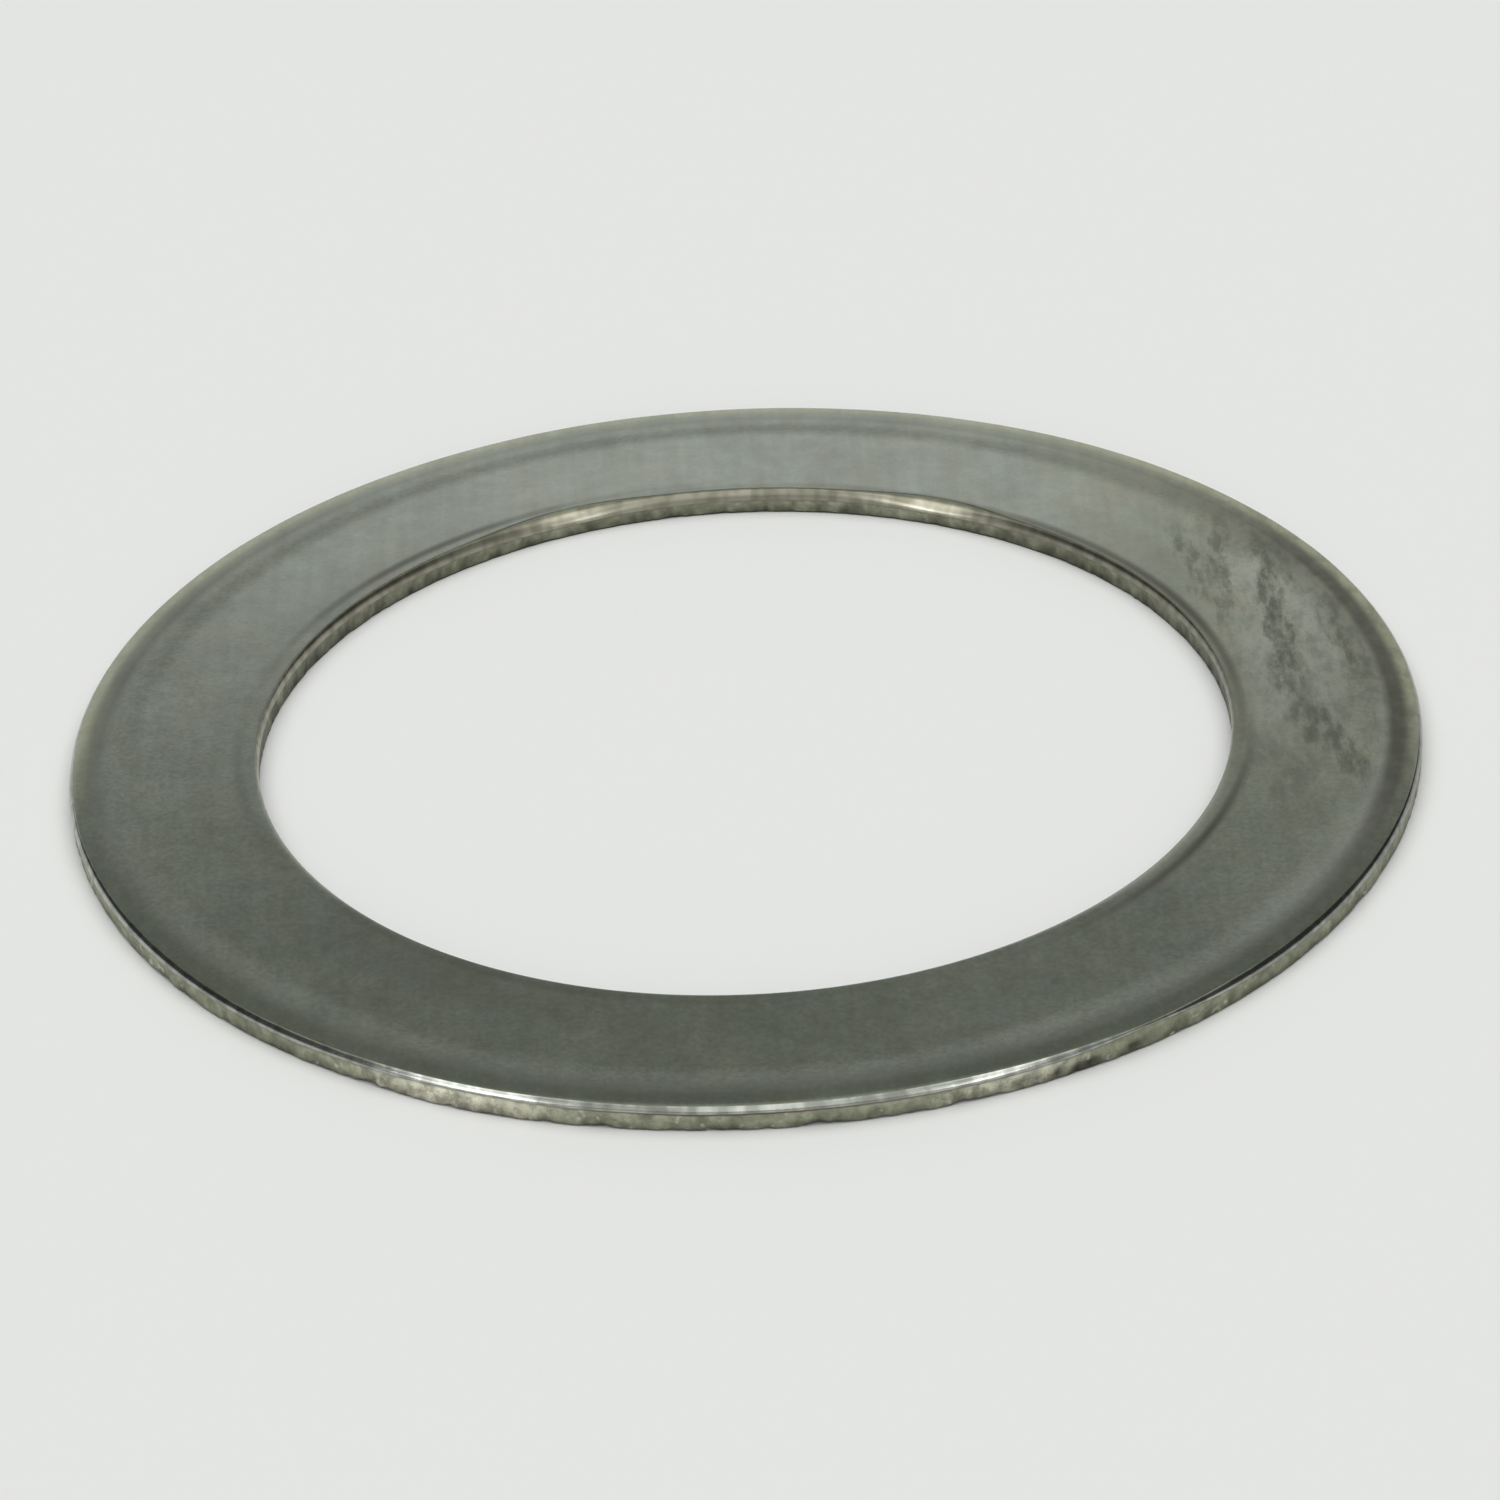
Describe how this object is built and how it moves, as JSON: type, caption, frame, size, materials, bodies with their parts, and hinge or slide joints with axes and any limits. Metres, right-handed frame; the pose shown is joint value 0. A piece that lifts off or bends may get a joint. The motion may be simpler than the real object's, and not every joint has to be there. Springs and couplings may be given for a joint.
{
  "type": "flat washer",
  "caption": "Thin flat round steel washer with a wide plain hole, blanked from strip, with one rounded and one square edge on each side of the ring.",
  "frame": {"origin": "centre of the hole, in the plane of the lower face that the washer lies on", "axes": "+Z along the washer's axis, from the lower face with the square edges to the upper face with the rounded edges; the washer is round, so +X and +Y are any two square directions"},
  "size_m": [0.025, 0.025, 0.0005],
  "materials": {
    "steel": "satin"
  },
  "bodies": {
    "root": {"washer": "steel"}
  },
  "joints": []
}
